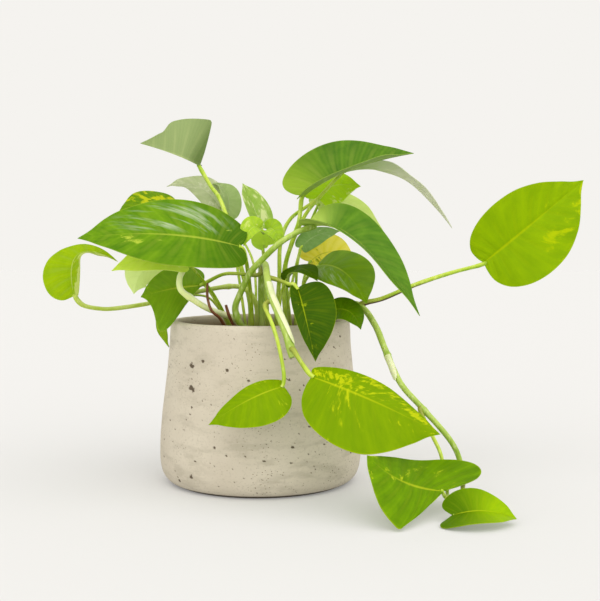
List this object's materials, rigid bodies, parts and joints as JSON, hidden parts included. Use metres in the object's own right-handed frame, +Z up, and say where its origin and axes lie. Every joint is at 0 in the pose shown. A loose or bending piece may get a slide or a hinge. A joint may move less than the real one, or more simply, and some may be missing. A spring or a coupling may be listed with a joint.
{
  "type": "potted pothos plant",
  "caption": "Trailing golden pothos with glossy variegated heart-shaped leaves, growing in a round tapered concrete pot that stands on its flat base.",
  "frame": {"origin": "centre of the pot's flat underside, on the surface it stands on", "axes": "+Z up; +X to the side that the longest shoot and its single large leaf reach out to; -Y to the side that the shoots trail down over the rim"},
  "size_m": [0.4234, 0.2607, 0.2954],
  "materials": {
    "concrete": "cast concrete, matt, with small pits and faint ripples",
    "soil": "dark, crumbly and matt",
    "leaf_pale": "pale grey green underside, satin",
    "leaf_green": "mid green and glossy, with yellow and cream variegation",
    "leaf_lime": "lit yellow green, glossy, with yellow flecks",
    "leaf_dark": "deep green and glossy",
    "leaf_yellow": "cream yellow with green patches, satin",
    "petiole": "smooth yellow green, satin",
    "runner": "smooth pale green, satin",
    "stem_pale": "smooth whitish green, satin",
    "sheath_dry": "dry, brown and papery",
    "vine": "smooth green, satin"
  },
  "bodies": {
    "root": {"pot": "concrete", "soil": "soil", "leaf_top_left": "leaf_pale", "leaf_back_left_pale": "leaf_pale", "leaf_back_left_low": "leaf_pale", "leaf_left_variegated": "leaf_green", "leaf_left_big": "leaf_green", "leaf_left_curled": "leaf_lime", "leaf_left_lime": "leaf_lime", "leaf_left_round": "leaf_pale", "leaf_left_dark": "leaf_dark", "leaf_left_hanging": "leaf_lime", "leaf_centre_upright": "leaf_pale", "leaf_centre_small": "leaf_green", "leaf_upper_right": "leaf_green", "leaf_upper_back": "leaf_green", "leaf_right_drooping": "leaf_green", "leaf_right_pale_back": "leaf_pale", "leaf_right_arching": "leaf_dark", "leaf_right_round": "leaf_dark", "leaf_centre_grey": "leaf_dark", "leaf_old_yellow": "leaf_yellow", "leaf_centre_crescent": "leaf_dark", "leaf_front_hanging": "leaf_dark", "leaf_rim_right": "leaf_dark", "leaf_far_right": "leaf_lime", "leaf_front_big": "leaf_lime", "leaf_front_small": "leaf_lime", "leaf_floor_large": "leaf_lime", "leaf_floor_small": "leaf_lime", "petiole_top_left": "petiole", "runner_left": "runner", "stem_left_hook": "stem_pale", "sheath_dried": "sheath_dry", "vine_front_left": "vine", "vine_front": "vine", "petiole_front_big": "petiole", "petiole_front_small": "petiole", "petiole_front_hanging": "petiole", "petiole_left_dark": "petiole", "petiole_upper_back": "petiole", "petiole_upper_right": "petiole", "petiole_right_drooping": "petiole", "vine_right": "vine", "petiole_far_right": "petiole", "petiole_floor_small": "petiole", "petiole_floor_large": "petiole", "petiole_back_left_pale": "petiole", "petiole_back_left_low": "petiole", "petiole_centre_upright": "petiole", "petiole_centre_small": "petiole", "petiole_left_lime": "petiole", "petiole_left_round": "petiole", "petiole_left_hanging": "petiole", "petiole_right_pale_back": "petiole", "petiole_right_round": "petiole", "petiole_centre_grey": "petiole", "petiole_old_yellow": "petiole", "petiole_centre_crescent": "petiole", "petiole_rim_right": "petiole"}
  },
  "joints": []
}
